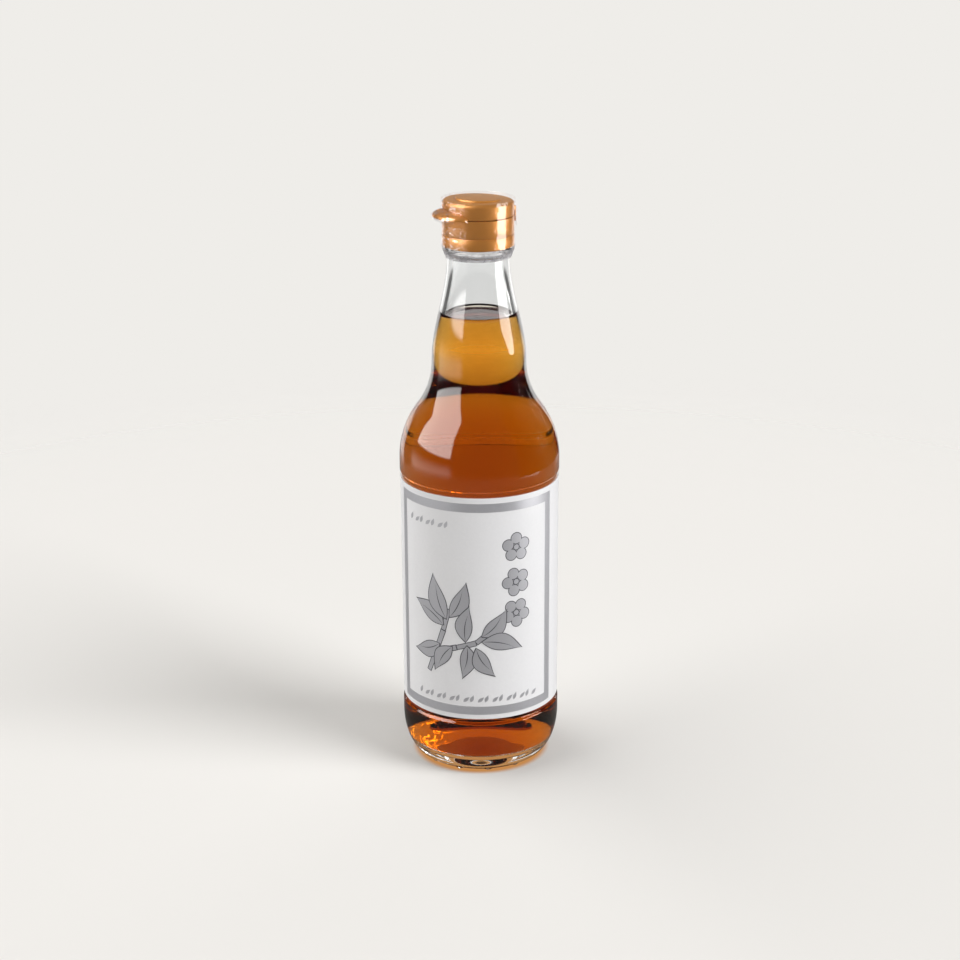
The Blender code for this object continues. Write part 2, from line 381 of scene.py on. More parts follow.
def shrink_film():
    """PVC seal, blown and heat shrunk: thin and clear, seen by the glints of its folds and its grey hem."""
    made, tree = new_material("clear_pvc_heat_shrunk")
    place = add_node(tree, "ShaderNodeTexCoord").outputs["Object"]
    where = add_node(tree, "ShaderNodeSeparateXYZ", {"Vector": place})
    crinkle = add_node(
        tree,
        "ShaderNodeTexNoise",
        {"Vector": place, "Scale": 1 / (2.5 * MM), "Detail": 3.0, "Distortion": 0.6},
    ).outputs["Fac"]
    bump = add_node(tree, "ShaderNodeBump", {"Strength": 0.4, "Distance": 0.25 * MM, "Height": crinkle})
    bumpy = bump.outputs["Normal"]
    turned_away = add_node(tree, "ShaderNodeLayerWeight", {"Blend": 0.5, "Normal": bumpy})
    steep = add_node(
        tree,
        "ShaderNodeMath",
        {0: turned_away.outputs["Facing"], 1: FILM_EDGE_POWER},
        operation="POWER",
    )
    gleam = add_node(
        tree,
        "ShaderNodeMapRange",
        {"Value": steep.outputs["Value"], "To Min": FILM_SHINE, "To Max": FILM_EDGE_SHINE},
    )
    fold = add_node(tree, "ShaderNodeTexNoise", {"Vector": place, "Scale": 1 / (1.3 * MM), "Detail": 2.0})
    ridge = add_node(
        tree,
        "ShaderNodeMapRange",
        {"Value": fold.outputs["Fac"], "From Min": 0.56, "From Max": 0.64, "To Max": FILM_FOLD_SHINE},
    )
    crumpled = add_node(
        tree,
        "ShaderNodeMapRange",
        {"Value": where.outputs["X"], "From Min": CRUMPLED_FROM * MM, "From Max": CRUMPLED_TO * MM},
    )
    glint = add_node(
        tree,
        "ShaderNodeMath",
        {0: ridge.outputs["Result"], 1: crumpled.outputs["Result"]},
        operation="MULTIPLY",
    )
    shine = add_node(
        tree,
        "ShaderNodeMath",
        {0: gleam.outputs["Result"], 1: glint.outputs["Value"]},
        operation="MAXIMUM",
    )
    clear = add_node(tree, "ShaderNodeBsdfTransparent", {"Color": rgba("#FEFDFD")})
    gloss = add_node(
        tree,
        "ShaderNodeBsdfGlossy",
        {"Color": (1.0, 1.0, 1.0, 1.0), "Roughness": 0.1, "Normal": bumpy},
    )
    skin = add_node(
        tree,
        "ShaderNodeMixShader",
        {0: shine.outputs["Value"], 1: clear.outputs["BSDF"], 2: gloss.outputs["BSDF"]},
    )
    hem_limits = {"From Min": HEM_FROM * MM, "From Max": HEM_TO * MM, "To Max": HEM_HAZE}
    hem = add_node(tree, "ShaderNodeMapRange", {"Value": where.outputs["Z"], **hem_limits})
    haze = add_node(tree, "ShaderNodeMath", {0: hem.outputs["Result"], 1: crinkle}, operation="MULTIPLY")
    milky = add_node(tree, "ShaderNodeBsdfDiffuse", {"Color": rgba("#A3A2A6")})
    film = add_node(
        tree,
        "ShaderNodeMixShader",
        {0: haze.outputs["Value"], 1: skin.outputs["Shader"], 2: milky.outputs["BSDF"]},
    )
    add_node(tree, "ShaderNodeOutputMaterial", {"Surface": film.outputs["Shader"]})
    return made


def deselect():
    """Leaves edit mode and selects nothing."""
    if bpy.context.object and bpy.context.object.mode != "OBJECT":
        bpy.ops.object.mode_set(mode="OBJECT")
    bpy.ops.object.select_all(action="DESELECT")


def finish_piece(name, material, sharp_angle=180.0):
    """Names the active piece, applies its place, gives it its finish and smooth shading, and returns it."""
    piece = bpy.context.object
    if piece.mode != "OBJECT":
        bpy.ops.object.mode_set(mode="OBJECT")
    piece.name = name
    piece.data.name = name
    bpy.ops.object.transform_apply(location=True, rotation=True, scale=True)
    if sharp_angle < 180.0:
        bpy.ops.object.shade_smooth_by_angle(angle=math.radians(sharp_angle))
    else:
        bpy.ops.object.shade_smooth()
    piece.data.materials.clear()
    piece.data.materials.append(material)
    return piece


def lathe(name, profile, material, sharp_angle=180.0, steps=LATHE_STEPS, span=360.0, start=0.0):
    """A profile of (radius, height) in millimetres, extruded from one point and spun about the axis."""
    deselect()
    bpy.ops.mesh.primitive_plane_add(size=MM, enter_editmode=True)
    bpy.ops.mesh.merge(type="CENTER")
    turn = Matrix.Rotation(math.radians(start), 3, "Z")
    here = Vector((0.0, 0.0, 0.0))
    for i, (r, z) in enumerate(profile):
        there = turn @ Vector((r * MM, 0.0, z * MM))
        if i == 0:
            bpy.ops.transform.translate(value=there - here)
        else:
            bpy.ops.mesh.extrude_region_move(TRANSFORM_OT_translate={"value": there - here})
        here = there
    bpy.ops.mesh.select_all(action="SELECT")
    bpy.ops.mesh.spin(steps=steps, angle=math.radians(span), center=(0, 0, 0), axis=(0, 0, 1))
    bpy.ops.mesh.select_all(action="SELECT")
    bpy.ops.mesh.remove_doubles(threshold=0.002 * MM)
    bpy.ops.mesh.normals_make_consistent(inside=False)
    return finish_piece(name, material, sharp_angle)


def thicken(sheet, thickness):
    """Gives the active thin sheet its thickness, outwards from its inner face."""
    solid = sheet.modifiers.new("Thickness", "SOLIDIFY")
    solid.thickness = thickness * MM
    solid.offset = 1.0
    bpy.ops.object.modifier_apply(modifier="Thickness")


def arc(centre_r, centre_z, radius_r, radius_z, start, end, count):
    """Points of an elliptical arc in the profile plane, from one angle to another."""
    turns = [start + (end - start) * i / (count - 1) for i in range(count)]
    return [(centre_r + radius_r * math.cos(t), centre_z + radius_z * math.sin(t)) for t in turns]


def neck_line(root_r, root_z, count):
    """The neck's gentle S from its root up to the collar, upright at both ends."""
    points = []
    for i in range(count):
        s = i / (count - 1)
        ease = s * s * (3 - 2 * s)
        points.append((root_r + (NECK_TOP_R - root_r) * ease, root_z + (NECK_TOP - root_z) * s))
    return points


def shoulder_and_neck(inset=0.0):
    """The shoulder and the neck as (radius, height), from the body's top to the collar, moved inwards."""
    turn = SHOULDER_TURN
    centre_r = BODY_R - SHOULDER_RADIUS
    swell = SHOULDER_RADIUS - inset
    hollow = NECK_ROOT_RADIUS + inset
    reach = SHOULDER_RADIUS + NECK_ROOT_RADIUS
    bend_r = centre_r + reach * math.cos(turn)
    bend_z = SHOULDER_START + reach * math.sin(turn)
    shoulder = arc(centre_r, SHOULDER_START, swell, swell, 0, turn, 18)
    root = arc(bend_r, bend_z, hollow, hollow, math.pi + turn, math.pi, 18)
    neck = neck_line(bend_r - NECK_ROOT_RADIUS, bend_z, 30)
    moved = []
    for i, (r, z) in enumerate(neck[1:], start=1):
        before, after = neck[i - 1], neck[min(i + 1, len(neck) - 1)]
        run, rise = after[0] - before[0], after[1] - before[1]
        length = math.hypot(run, rise)
        moved.append((r - inset * rise / length, z + inset * run / length))
    return shoulder + root[1:] + moved


def glass_outside():
    """The glass from its mouth down the outside to the middle of the push-up."""
    finish = [(FINISH_R - 0.5, MOUTH), (FINISH_R, MOUTH - 0.5), (FINISH_R, COLLAR_TOP + 0.8)]
    middle = (COLLAR_TOP + NECK_TOP) / 2 + 0.6
    half = (COLLAR_TOP - NECK_TOP) / 2
    bead = arc(COLLAR_R - 1.6, middle, 1.8, half, math.radians(80), math.radians(-66), 12)
    ease = [
        (BODY_R - (BODY_R - PANEL_R) * (0.5 - 0.5 * math.cos(math.pi * i / 6)), PANEL_EASE * (1 - i / 6))
        for i in range(7)
    ]
    above = [(r, PANEL_TOP + z) for r, z in ease]
    below = [(r, PANEL_BOTTOM - z) for r, z in ease[::-1]]
    heel = arc(FOOT_R, HEEL_HEIGHT, BODY_R - FOOT_R, HEEL_HEIGHT, 0, -math.pi / 2, 28)
    inner_foot = FOOT_R - FOOT_WIDTH
    dome = [
        (inner_foot * math.cos(t), PUSH_UP * math.sin(t) ** 1.4)
        for t in (math.pi / 2 * i / 14 for i in range(15))
    ]
    return finish + bead + shoulder_and_neck()[::-1] + above + below + heel + dome


def glass_inside(inset=WALL, level=None):
    """The cavity from the middle of the base up to the mouth, or up to a level."""
    body_r = BODY_R - inset
    lower = WALL - inset
    floor_edge = body_r - INNER_HEEL
    dip = BASE_EDGE + lower
    floor = [
        (floor_edge * i / 12, dip + (BASE_CENTRE - BASE_EDGE) * (1 - (i / 12) ** 2) ** 2)
        for i in range(13)
    ]
    heel = arc(floor_edge, dip + INNER_HEEL, INNER_HEEL, INNER_HEEL, -math.pi / 2, 0, 18)[1:]
    upper = shoulder_and_neck(inset)
    bore = [(NECK_TOP_R - inset, NECK_TOP + 1.0), (NECK_TOP_R - inset, MOUTH)]
    points = floor + heel + upper[:-1] + bore
    if level is None:
        return points
    below = [p for p in points if p[1] < level]
    low, high = below[-1], points[len(below)]
    share = (level - low[1]) / (high[1] - low[1])
    return below + [(low[0] + share * (high[0] - low[0]), level)]


def heel_bump(around, r, z):
    """How far the moulded bumps stand out of the heel's underside at a place, in millimetres."""
    if z > 4.0 or r < BUMP_R - 3 or r > BUMP_R + 3:
        return 0.0
    step = TURN / HEEL_BUMPS
    along = ((around + step / 2) % step - step / 2) * BUMP_R
    across = r - BUMP_R
    return BUMP_HEIGHT * math.exp(-((along / BUMP_ALONG) ** 2) - (across / BUMP_ACROSS) ** 2)


def make_glass(material, wetted):
    """The bottle itself: one closed skin, outside and inside, open at the mouth under the cap."""
    glass = lathe("glass_bottle", glass_inside() + glass_outside(), material, steps=GLASS_STEPS)
    for vertex in glass.data.vertices:
        r, z = math.hypot(vertex.co.x, vertex.co.y) / MM, vertex.co.z / MM
        if z < WALL and vertex.normal.z < 0:
            vertex.co += vertex.normal * heel_bump(math.atan2(vertex.co.y, vertex.co.x), r, z) * MM
            vertex.co.z = max(vertex.co.z, 0.0)
    glass.data.materials.append(wetted)
    for face in glass.data.polygons:
        middle, towards = face.center, face.normal
        on_floor = towards.z > 0.5 and middle.z < 20 * MM
        inwards = towards.x * middle.x + towards.y * middle.y < 0 or on_floor
        if inwards and middle.z / MM < FILL_LEVEL and is_inside(middle):
            face.material_index = 1
    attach(glass, "root")
    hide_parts("bottle")


def is_inside(point):
    """True on the cavity's wall or floor, and false on the outside and under the base."""
    r, z = math.hypot(point.x, point.y) / MM, point.z / MM
    return z > BASE_EDGE - 0.1 and (z > HEEL_HEIGHT or r < BODY_R - WALL + 0.3)


def make_sauce(material):
    """The sauce, reaching just into the glass wall, with a meniscus that climbs it."""
    climb = 1.3
    wall = glass_inside(WALL - INTO_WALL, FILL_LEVEL + climb)
    edge_r = wall[-1][0]
    curve = 3.2
    meniscus = [
        (edge_r - curve * i / 12, FILL_LEVEL + climb * (1 - i / 12) ** 3)
        for i in range(1, 13)
    ]
    flat = [(edge_r * share, FILL_LEVEL) for share in (0.6, 0.3, 0.0)]
    sauce = lathe("sauce_fill", wall + meniscus + flat, material)
    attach(sauce, "root")
    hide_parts("soy_sauce")


def paper_sheet(name, radius, span, start, material):
    """A thin sheet of paper lying round the recessed panel."""
    rows = 24
    profile = [(radius, LABEL_TOP + (LABEL_BOTTOM - LABEL_TOP) * i / rows) for i in range(rows + 1)]
    sheet = lathe(name, profile, material, 40.0, max(8, round(span / 2)), span, start)
    thicken(sheet, LABEL_THICK)
    bpy.ops.object.shade_smooth_by_angle(angle=PAPER_EDGE)
    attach(sheet, "root")
    return sheet


def make_label(material, glued):
    """The paper label wrapped round the panel, with its end pasted over its beginning at the back."""
    sheet = paper_sheet("paper_label", LABEL_R, 360.0, 90.0, material)
    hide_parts("label")
    # The inner faces, seen through the sauce, get the glued side with its painted glow
    sheet.data.materials.append(glued)
    for face in sheet.data.polygons:
        if face.normal.x * face.center.x + face.normal.y * face.center.y < 0:
            face.material_index = 1
    start = 90 + PRINT_TURN + OVERLAP_SPAN / 2
    paper_sheet("paper_label_overlap", PRINT_R, OVERLAP_SPAN, start, material)


def flat_face(count):
    """A flat face of unit radius across the label and up, as a new object in object mode."""
    deselect()
    bpy.ops.mesh.primitive_circle_add(vertices=count, radius=1.0, fill_type="NGON")
    return bpy.context.object


def placed(s, z, x, y, lean, lift=0.0):
    """A place on the unrolled label: (x, y), turned by the lean in radians and moved to (s, z)."""
    return (s + x * math.cos(lean) - y * math.sin(lean), z + x * math.sin(lean) + y * math.cos(lean), lift)


def leaf(s, z, length, width, lean, bend, grow=0.0, lift=0.0):
    """A pointed leaf from its stalk end at (s, z), leaning from level, its middle bent to one side."""
    piece = flat_face(44)
    turn = math.radians(lean)
    for vertex in piece.data.vertices:
        along = (1 + vertex.co.x) / 2
        side = math.copysign(math.sin(math.pi * along**0.8) ** 1.2, vertex.co.y)
        x = -grow * 1.6 + (length + 3.6 * grow) * along
        y = side * (width / 2 + grow) + bend * length * 4 * along * (1 - along)
        vertex.co = placed(s, z, x, y, turn, lift)
    return piece


def disc(s, z, radius, grow=0.0):
    """A round spot of ink."""
    piece = flat_face(28)
    for vertex in piece.data.vertices:
        vertex.co = (s + vertex.co.x * (radius + grow), z + vertex.co.y * (radius + grow), 0)
    return piece


def stalk(points, width, grow=0.0):
    """A jointed stalk: one slim tapering face between each two points."""
    pieces = []
    for (s0, z0), (s1, z1) in zip(points, points[1:]):
        long = math.hypot(s1 - s0, z1 - z0)
        lean = math.atan2(z1 - z0, s1 - s0)
        piece = flat_face(4)
        for vertex in piece.data.vertices:
            end = vertex.co.x + vertex.co.y > 0
            side = 1 if vertex.co.y > vertex.co.x else -1
            x = long + grow - 0.25 if end else 0.25 - grow
            y = side * (width * (0.5 if end else 0.42) + grow)
            vertex.co = placed(s0, z0, x, y, lean)
        pieces.append(piece)
    return pieces


def frame_band():
    """The plain border: a square-cornered band all round the print."""
    piece = flat_face(4)
    for vertex in piece.data.vertices:
        right = vertex.co.x + vertex.co.y > 0
        upper = vertex.co.y > vertex.co.x
        vertex.co = (PRINT_HALF if right else -PRINT_HALF, BAND_TOP if upper else BAND_BOTTOM, 0)
    bpy.ops.object.mode_set(mode="EDIT")
    bpy.ops.mesh.select_all(action="SELECT")
    bpy.ops.mesh.inset(thickness=BAND_WIDTH)
    bpy.ops.mesh.delete(type="FACE")
    return piece


def print_on(name, pieces, material, lift):
    """Joins flat faces, cuts them into strips, bends them round the label and thickens the ink."""
    deselect()
    for piece in pieces:
        piece.select_set(True)
    bpy.context.view_layer.objects.active = pieces[0]
    if len(pieces) > 1:
        bpy.ops.object.join()
    bpy.ops.object.mode_set(mode="EDIT")
    for i in range(-round(PRINT_HALF), round(PRINT_HALF) + 1):
        bpy.ops.mesh.select_all(action="SELECT")
        bpy.ops.mesh.bisect(plane_co=(i, 0, 0), plane_no=(1, 0, 0))
    bpy.ops.mesh.select_all(action="SELECT")
    bpy.ops.mesh.quads_convert_to_tris()
    bpy.ops.object.mode_set(mode="OBJECT")
    for vertex in bpy.context.object.data.vertices:
        radius = PRINT_R + lift + vertex.co.z
        turn = math.radians(PRINT_TURN) + vertex.co.x / PRINT_R
        vertex.co = (radius * MM * math.sin(turn), -radius * MM * math.cos(turn), vertex.co.y * MM)
    ink = finish_piece(name, material, 40.0)
    thicken(ink, INK_THICK)
    bpy.ops.object.shade_smooth_by_angle(angle=PAPER_EDGE)
    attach(ink, "root")


# The printed sprig: each leaf's stalk end across and up, length, width, lean in degrees and bend,
# and the two stalks that carry them. Sizes in millimetres on the unrolled label.
SPRIG_LEAVES = (
    (-13.0, 70.0, 17.0, 7.6, 150, -0.10),
    (-15.0, 61.0, 14.5, 7.0, 200, 0.12),
    (-11.5, 73.0, 20.0, 8.0, 108, 0.10),
    (-10.0, 74.0, 17.5, 7.0, 66, -0.10),
    (-9.0, 60.5, 14.5, 6.8, 236, -0.10),
    (-2.5, 61.5, 15.0, 6.6, 262, 0.10),
    (-3.0, 63.5, 16.0, 7.0, 84, 0.10),
    (4.0, 66.0, 15.5, 7.2, 48, -0.12),
    (1.5, 60.5, 15.0, 6.8, -58, -0.12),
    (4.0, 63.5, 18.0, 7.4, -14, 0.10),
)
SPRIG_STALKS = (
    ((-20.5, 47.5), (-16.5, 57.5), (-13.0, 67.5), (-10.5, 77.5)),
    ((-16.5, 57.5), (-7.0, 60.5), (1.5, 63.0), (8.0, 68.5)),
)
STALK_WIDTH = 2.0
VEIN_WIDTH = 0.4
INK_LIFT = 0.01
LAYER = 0.012
BLOSSOM_HEIGHTS = (105.0, 89.5, 75.5)
BLOSSOM_ACROSS = 19.0
PETAL_REACH = 3.9
PETAL_R = 2.35


def sprig(grow):
    """The stalks and leaves of the main motif. Grown outwards, they are the outline, with the veins."""
    pieces = []
    for points in SPRIG_STALKS:
        pieces += stalk(points, STALK_WIDTH, grow)
    for i, (s, z, length, width, lean, bend) in enumerate(SPRIG_LEAVES, start=1):
        pieces.append(leaf(s, z, length, width, lean, bend, grow, LAYER * i))
        if grow > 0.0:
            pieces.append(leaf(s, z, length * 0.8, VEIN_WIDTH, lean, bend * 0.8, 0.0, LAYER * (i + 1)))
    return pieces


def blossoms(grow):
    """A column of three plain five-petalled blossoms."""
    pieces = []
    for i, z in enumerate(BLOSSOM_HEIGHTS):
        pieces.append(disc(BLOSSOM_ACROSS, z, 1.15, grow))
        for k in range(5):
            turn = math.radians(90 + 20 * i) + TURN * k / 5
            across, up = PETAL_REACH * math.cos(turn), PETAL_REACH * math.sin(turn)
            pieces.append(disc(BLOSSOM_ACROSS + across, z + up, PETAL_R, grow))
    return pieces


def small_leaves(start, end, z, count):
    """A level row of small slanting leaves."""
    step = (end - start) / (count - 1)
    return [leaf(start + step * i, z - 1.2, 3.6, 1.5, 42 if i % 2 else 68, 0.0) for i in range(count)]


def make_print(silver, charcoal):
    """The print: a plain border, a leafy sprig, a column of blossoms and two rows of small leaves."""
    print_on("print_border", [frame_band()], silver, INK_LIFT)
    rows = small_leaves(-31.0, -12.0, 114.8, 7) + small_leaves(-26.0, 27.0, 36.8, 18)
    print_on("print_small_leaves", rows, silver, INK_LIFT)
    print_on("print_sprig_outline", sprig(OUTLINE), charcoal, INK_LIFT)
    print_on("print_blossom_outline", blossoms(OUTLINE), charcoal, INK_LIFT)
    print_on("print_sprig", sprig(0.0), silver, INK_LIFT + LAYER / 2)
    print_on("print_blossoms", blossoms(0.0), silver, INK_LIFT + LAYER / 2)


def make_cap_base(material):
    """The cap's skirt with its rounded edges and the groove round it."""
    top = PARTING - PARTING_GAP / 2
    profile = [(0.0, top)]
    profile += arc(CAP_R - 0.35, top - 0.35, 0.35, 0.35, math.pi / 2, 0, 6)
    profile += [(CAP_R, (top + GROOVE_Z) / 2), (CAP_R, GROOVE_Z + GROOVE_DEPTH + 0.1)]
    groove = math.radians(110), math.radians(250)
    profile += arc(CAP_R + 0.02, GROOVE_Z, GROOVE_DEPTH, GROOVE_DEPTH, *groove, 7)
    profile += [(CAP_R + 0.08, GROOVE_Z - GROOVE_DEPTH - 0.15)]
    profile += arc(CAP_R - 0.45, SKIRT_BOTTOM + 0.45, 0.45, 0.45, 0, -math.pi / 2, 7)
    profile += [(CAP_BORE_R, SKIRT_BOTTOM), (CAP_BORE_R, DECK_UNDERSIDE), (0.0, DECK_UNDERSIDE)]
    base = lathe("cap_skirt", profile, material, 50.0)
    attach(base, "root")
    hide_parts("cap_base")


def make_cap_lid(material):
    """The shut lid: a rounded puck with a raised disc, the thumb lip and the hinge strap."""
    bottom = PARTING + PARTING_GAP / 2
    dish_r = DISC_R + 0.5
    profile = [(0.0, LID_TOP + DISC_RISE)]
    profile += arc(DISC_R - 0.6, LID_TOP + DISC_RISE - 0.6, 0.6, 0.6, math.pi / 2, 0, 6)
    profile += arc(dish_r, LID_TOP + 0.3, 0.5, 0.3, math.pi, math.pi * 1.5, 5)
    profile += arc(CAP_R - LID_EDGE, LID_TOP - LID_EDGE, LID_EDGE, LID_EDGE, math.pi / 2, 0, 14)
    profile += [(CAP_R, (LID_TOP - LID_EDGE + bottom) / 2)]
    profile += arc(CAP_R - 0.3, bottom + 0.3, 0.3, 0.3, 0, -math.pi / 2, 5)
    profile += [(0.0, bottom)]
    lid = lathe("cap_flip_lid", profile, material, 50.0)
    deselect()
    bpy.ops.mesh.primitive_uv_sphere_add(segments=96, ring_count=48, radius=1.0, enter_editmode=True)
    bpy.ops.mesh.select_all(action="SELECT")
    bpy.ops.mesh.bisect(plane_co=(0, 0, 0), plane_no=(0, 0, 1), clear_inner=True, use_fill=True)
    bpy.ops.object.mode_set(mode="OBJECT")
    lip = bpy.context.object
    lip.scale = (LIP_REACH * MM, LIP_HALF_WIDTH * MM, LIP_HEIGHT * MM)
    lip.rotation_euler = (0, 0, LIP_DIRECTION)
    turn = Matrix.Rotation(LIP_DIRECTION, 3, "Z")
    lip.location = turn @ Vector((LIP_CENTRE * MM, 0, bottom * MM))
    bpy.ops.object.transform_apply(location=True, rotation=True, scale=True)
    back = LIP_DIRECTION + math.pi
    strap = rounded_box(
        (CAP_R - 3, -HINGE_WIDTH / 2, PARTING + 1),
        (HINGE_OUT, HINGE_WIDTH / 2, HINGE_TOP),
        back,
    )
    tongue = rounded_box(
        (CAP_R + 0.3, -HINGE_WIDTH / 2, HINGE_BOTTOM),
        (HINGE_OUT - 0.05, HINGE_WIDTH / 2, HINGE_TOP - 0.4),
        back,
    )
    for other in (lip, strap, tongue):
        join(lid, other)
    lower_top(lid)
    deselect()
    lid.select_set(True)
    bpy.context.view_layer.objects.active = lid
    bpy.ops.object.shade_smooth_by_angle(angle=math.radians(38))
    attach(lid, "root")
    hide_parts("cap_lid")


def rounded_box(low, high, direction):
    """A box with bevelled edges, from corners (outwards, across, up), turned to face a direction."""
    deselect()
    bpy.ops.mesh.primitive_cube_add(size=1.0)
    piece = bpy.context.object
    turn = Matrix.Rotation(direction, 3, "Z")
    piece.scale = [(end - start) * MM for start, end in zip(low, high)]
    piece.rotation_euler = (0, 0, direction)
    piece.location = turn @ Vector([(start + end) / 2 * MM for start, end in zip(low, high)])
    bpy.ops.object.transform_apply(location=True, rotation=True, scale=True)
    bevel = piece.modifiers.new("Edges", "BEVEL")
    bevel.width = 0.3 * MM
    bevel.segments = 3
    bpy.ops.object.modifier_apply(modifier="Edges")
    return piece


def join(piece, other):
    """Joins another closed mesh into this piece by a union."""
    deselect()
    piece.select_set(True)
    bpy.context.view_layer.objects.active = piece
    union = piece.modifiers.new("Join", "BOOLEAN")
    union.operation = "UNION"
    union.solver = "EXACT"
    union.object = other
    bpy.ops.object.modifier_apply(modifier="Join")
    bpy.data.objects.remove(other, do_unlink=True)


def lower_top(lid):
    """The lid's top falls slightly from the lip's side to the hinge's side."""
    shoulder = LID_TOP - LID_EDGE
    for vertex in lid.data.vertices:
        z = vertex.co.z / MM
        if z > shoulder:
            towards_lip = vertex.co.x * math.cos(LIP_DIRECTION) + vertex.co.y * math.sin(LIP_DIRECTION)
            share = (z - shoulder) / (LID_TOP - shoulder)
            vertex.co.z -= TOP_FALL * MM * share * (1 - towards_lip / MM / CAP_R) / 2


def lip_edge(off_axis, above):
    """How far out the lip reaches at an angle from its middle and a height above its underside."""
    if above >= LIP_HEIGHT or math.cos(off_axis) < 0:
        return 0.0
    left = 1 - (max(above, 0.0) / LIP_HEIGHT) ** 2
    a = (math.cos(off_axis) / LIP_REACH) ** 2 + (math.sin(off_axis) / LIP_HALF_WIDTH) ** 2
    b = -2 * LIP_CENTRE * math.cos(off_axis) / LIP_REACH**2
    c = (LIP_CENTRE / LIP_REACH) ** 2 - left
    inside = b * b - 4 * a * c
    return (-b + math.sqrt(inside)) / (2 * a) if inside > 0 else 0.0


def film_profile():
    """The film's inner face, from the lid's rounded edge down over the skirt to the neck."""
    sleeve_r = CAP_R + FILM_GAP
    edge = LID_EDGE + FILM_GAP
    points = arc(CAP_R - LID_EDGE, LID_TOP - LID_EDGE, edge, edge, FILM_TOP_TURN, 0, 8)
    rows = 44
    for i in range(1, rows + 1):
        points.append((sleeve_r, LID_TOP - LID_EDGE + (SKIRT_BOTTOM - LID_TOP + LID_EDGE) * i / rows))
    ends = [
        (COLLAR_R + 0.2 + FILM_GAP, COLLAR_TOP - 1.9),
        (COLLAR_R + FILM_GAP - 0.1, NECK_TOP + 1.0),
        (NECK_TOP_R + FILM_GAP + 0.3, FILM_BOTTOM),
    ]
    before = points[-1]
    for after in ends:
        points += [
            (before[0] + (after[0] - before[0]) * i / 4, before[1] + (after[1] - before[1]) * i / 4)
            for i in range(1, 5)
        ]
        before = after
    return points


def film_bulge(around, height):
    """How far out the film stands where it is tented over the thumb lip or the hinge strap."""
    from_lip = (around - LIP_DIRECTION + math.pi) % TURN - math.pi
    lip = lip_edge(from_lip, height - PARTING - PARTING_GAP / 2)
    below_lip = max(0.0, PARTING - height - FILM_GAP) / FILM_TENT
    over_lip = (lip + FILM_CLEAR - CAP_R) * max(0.0, 1 - below_lip)
    from_hinge = abs((around - LIP_DIRECTION) % TURN - math.pi)
    beside = min(1.0, max(0.0, 2 - from_hinge / math.radians(17)))
    off_hinge = max(HINGE_BOTTOM - 0.4 - height, height - HINGE_TOP - 0.4, 0.0)
    hinge = math.hypot(HINGE_OUT, HINGE_WIDTH / 2) + FILM_CLEAR - CAP_R
    over_hinge = hinge * beside * max(0.0, 1 - off_hinge / FILM_TENT)
    return CAP_R + max(over_lip, over_hinge, FILM_GAP)


def wrinkle(around, z):
    """How far the film's small gathers push it outwards at a place, in millimetres."""
    from_lip = abs((around - LIP_DIRECTION + math.pi) % TURN - math.pi)
    from_hinge = abs((around - LIP_DIRECTION) % TURN - math.pi)
    near = math.exp(-((from_lip / 0.75) ** 2)) + 0.9 * math.exp(-((from_hinge / 0.6) ** 2))
    top = math.exp(-((z - LID_TOP + 1.2) ** 2) / 3.0)
    low = math.exp(-((z - COLLAR_TOP + 1.0) ** 2) / 9.0)
    fine = noise.noise(Vector((around * 9, z * 0.35, 3.1)))
    cross = noise.noise(Vector((around * 4, z * 0.9, 7.7)))
    ruck = noise.noise(Vector((around * 16, z * 0.2, 1.3)))
    return 0.40 * near * cross + 0.25 * top * fine + 0.34 * low * ruck + 0.07 * fine


def make_film(material):
    """The seal: thin clear film, tented over the lip and the hinge and gathered into fine wrinkles."""
    film = lathe("seal_film", film_profile(), material, steps=240)
    for vertex in film.data.vertices:
        r, z = math.hypot(vertex.co.x, vertex.co.y) / MM, vertex.co.z / MM
        around = math.atan2(vertex.co.y, vertex.co.x)
        stand = max(r, film_bulge(around, z)) if z > SKIRT_BOTTOM else r
        stand += max(-0.15, wrinkle(around, z))
        vertex.co.x *= stand / r
        vertex.co.y *= stand / r
    thicken(film, FILM_THICK)
    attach(film, "root")
    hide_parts("shrink_film")


